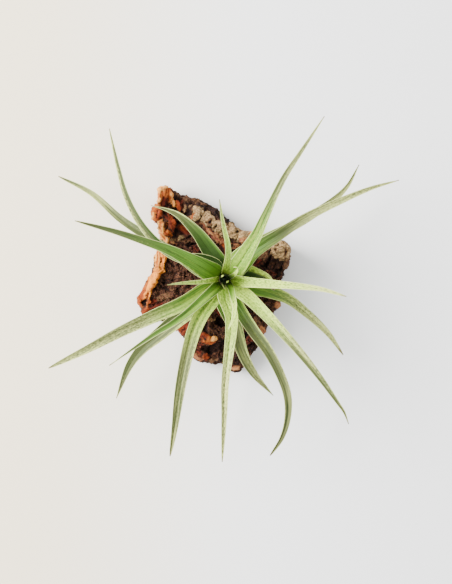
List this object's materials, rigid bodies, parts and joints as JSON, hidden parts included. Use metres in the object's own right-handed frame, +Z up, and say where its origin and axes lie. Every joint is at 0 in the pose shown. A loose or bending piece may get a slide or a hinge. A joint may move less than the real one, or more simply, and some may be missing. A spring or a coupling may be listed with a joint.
{
  "type": "air plant on bark",
  "caption": "Rosette of long, tapering, channelled leaves on a short stem, standing on a rough chunk of bark.",
  "frame": {"origin": "on the surface that the bark lies on, straight below the stem's axis", "axes": "+Z up along the stem's axis, +Y towards the bark's torn column and its corky ridge"},
  "size_m": [0.1507, 0.146, 0.0844],
  "materials": {
    "bark": "rough, broken",
    "stem": "dry, fibrous",
    "leaf": "matt, with a fine silvery bloom"
  },
  "bodies": {
    "root": {"bark": "bark", "stem": "stem", "outer_leaf_1": "leaf", "outer_leaf_2": "leaf", "outer_leaf_3": "leaf", "outer_leaf_4": "leaf", "outer_leaf_5": "leaf", "outer_leaf_6": "leaf", "outer_leaf_7": "leaf", "outer_leaf_8": "leaf", "middle_leaf_1": "leaf", "middle_leaf_2": "leaf", "middle_leaf_3": "leaf", "middle_leaf_4": "leaf", "middle_leaf_5": "leaf", "middle_leaf_6": "leaf", "middle_leaf_7": "leaf", "middle_leaf_8": "leaf", "inner_leaf_1": "leaf", "inner_leaf_2": "leaf", "inner_leaf_3": "leaf", "inner_leaf_4": "leaf", "inner_leaf_5": "leaf", "inner_leaf_6": "leaf", "inner_leaf_7": "leaf", "heart_leaf_1": "leaf", "heart_leaf_2": "leaf"}
  },
  "joints": []
}
